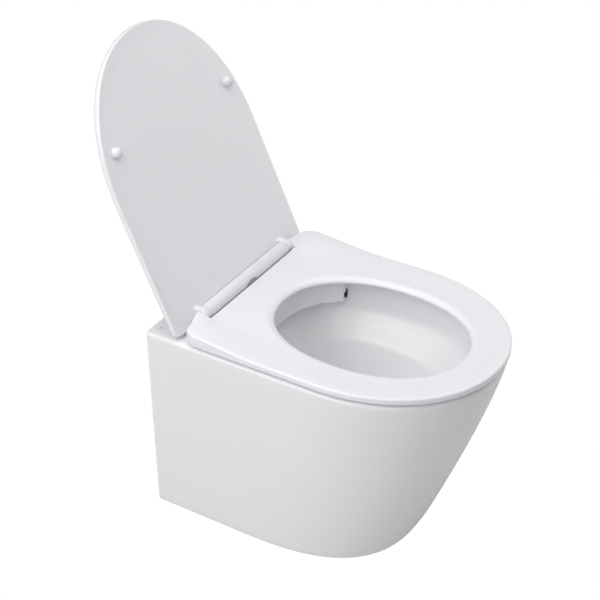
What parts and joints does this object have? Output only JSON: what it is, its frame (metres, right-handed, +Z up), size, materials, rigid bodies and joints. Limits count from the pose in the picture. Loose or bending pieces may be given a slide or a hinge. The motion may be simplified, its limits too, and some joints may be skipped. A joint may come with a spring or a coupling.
{
  "type": "wall-hung toilet pan",
  "caption": "Wall-hung D-shaped toilet pan with a hinged soft-close seat ring and lid on a barrel hinge with a quick-release button.",
  "frame": {"origin": "midpoint between the two wall studs, on the pan's flat back, which is the wall plane", "axes": "+Z up, +Y into the wall, +X to the right of someone facing the wall; the user sits on the -Y side"},
  "size_m": [0.36, 0.6332, 0.73],
  "materials": {
    "ceramic": "white gloss glaze",
    "seat_plastic": "white moulded thermoset, gloss",
    "hinge_plastic": "pale grey-white moulded plastic",
    "button_plastic": "grey moulded plastic",
    "bumper_rubber": "soft white elastomer",
    "sleeve_rubber": "black rubber",
    "steel": "stainless, satin",
    "zinc": "zinc-plated, dull",
    "damper_plastic": "dark engineering plastic"
  },
  "bodies": {
    "pan_body": {"pan": "ceramic", "hinge_barrel": "hinge_plastic", "button_spring": "steel", "barrel_collar_left": "hinge_plastic", "barrel_collar_right": "hinge_plastic", "soft_close_damper_left": "damper_plastic", "soft_close_damper_right": "damper_plastic", "hinge_pin_left": "steel", "hinge_pin_right": "steel", "hinge_post_left": "steel", "hinge_post_right": "steel", "post_rosette_left": "steel", "post_rosette_right": "steel", "post_sleeve_left": "sleeve_rubber", "post_sleeve_right": "sleeve_rubber", "post_washer_left": "sleeve_rubber", "post_washer_right": "sleeve_rubber", "post_nut_left": "steel", "post_nut_right": "steel", "wall_bracket_left": "zinc", "wall_bracket_right": "zinc", "wall_stud_left": "zinc", "wall_stud_right": "zinc", "stud_nut_left": "zinc", "stud_nut_right": "zinc", "deck_cap_left": "bumper_rubber", "deck_cap_right": "bumper_rubber"},
    "seat_ring_body": {"seat_ring": "seat_plastic", "ring_bumper_front_left": "bumper_rubber", "ring_bumper_front_right": "bumper_rubber", "ring_bumper_rear_left": "bumper_rubber", "ring_bumper_rear_right": "bumper_rubber"},
    "lid_body": {"lid": "seat_plastic", "lid_buffer_left": "bumper_rubber", "lid_buffer_right": "bumper_rubber"},
    "button_body": {"release_button": "button_plastic"},
    "latch_left_body": {"latch_bar_left": "damper_plastic"},
    "latch_right_body": {"latch_bar_right": "damper_plastic"},
    "clamp_left_body": {"clamp_screw_left": "zinc"},
    "clamp_right_body": {"clamp_screw_right": "zinc"}
  },
  "joints": [
    {"name": "lid_hinge", "type": "hinge", "parent": "pan_body", "child": "lid_body", "pos_m": [0, -0.0624, 0.114], "axis": [-1, 0, 0], "range_deg": [-115.3, 0]},
    {"name": "ring_hinge", "type": "hinge", "parent": "pan_body", "child": "seat_ring_body", "pos_m": [0, -0.0624, 0.114], "axis": [-1, 0, 0], "range_deg": [0, 115.1]},
    {"name": "button_press", "type": "slide", "parent": "pan_body", "child": "button_body", "axis": [0, 1, 0], "range_m": [0, 0.0025], "stiffness_N_per_m": 400, "springref_m": -0.0025, "deforming": ["button_spring"]},
    {"name": "latch_left_slide", "type": "slide", "parent": "pan_body", "child": "latch_left_body", "axis": [1, 0, 0], "range_m": [0, 0.0025]},
    {"name": "latch_right_slide", "type": "slide", "parent": "pan_body", "child": "latch_right_body", "axis": [-1, 0, 0], "range_m": [0, 0.0025]},
    {"name": "clamp_left_turn", "type": "hinge", "parent": "pan_body", "child": "clamp_left_body", "pos_m": [-0.158, -0.0165, 0.075], "axis": [0, 0, 1], "continuous": true},
    {"name": "clamp_right_turn", "type": "hinge", "parent": "pan_body", "child": "clamp_right_body", "pos_m": [0.158, -0.0165, 0.075], "axis": [0, 0, 1], "continuous": true}
  ],
  "couplings": [
    {"joint": "latch_left_slide", "follows": "button_press", "ratio": 1},
    {"joint": "latch_right_slide", "follows": "button_press", "ratio": 1}
  ]
}
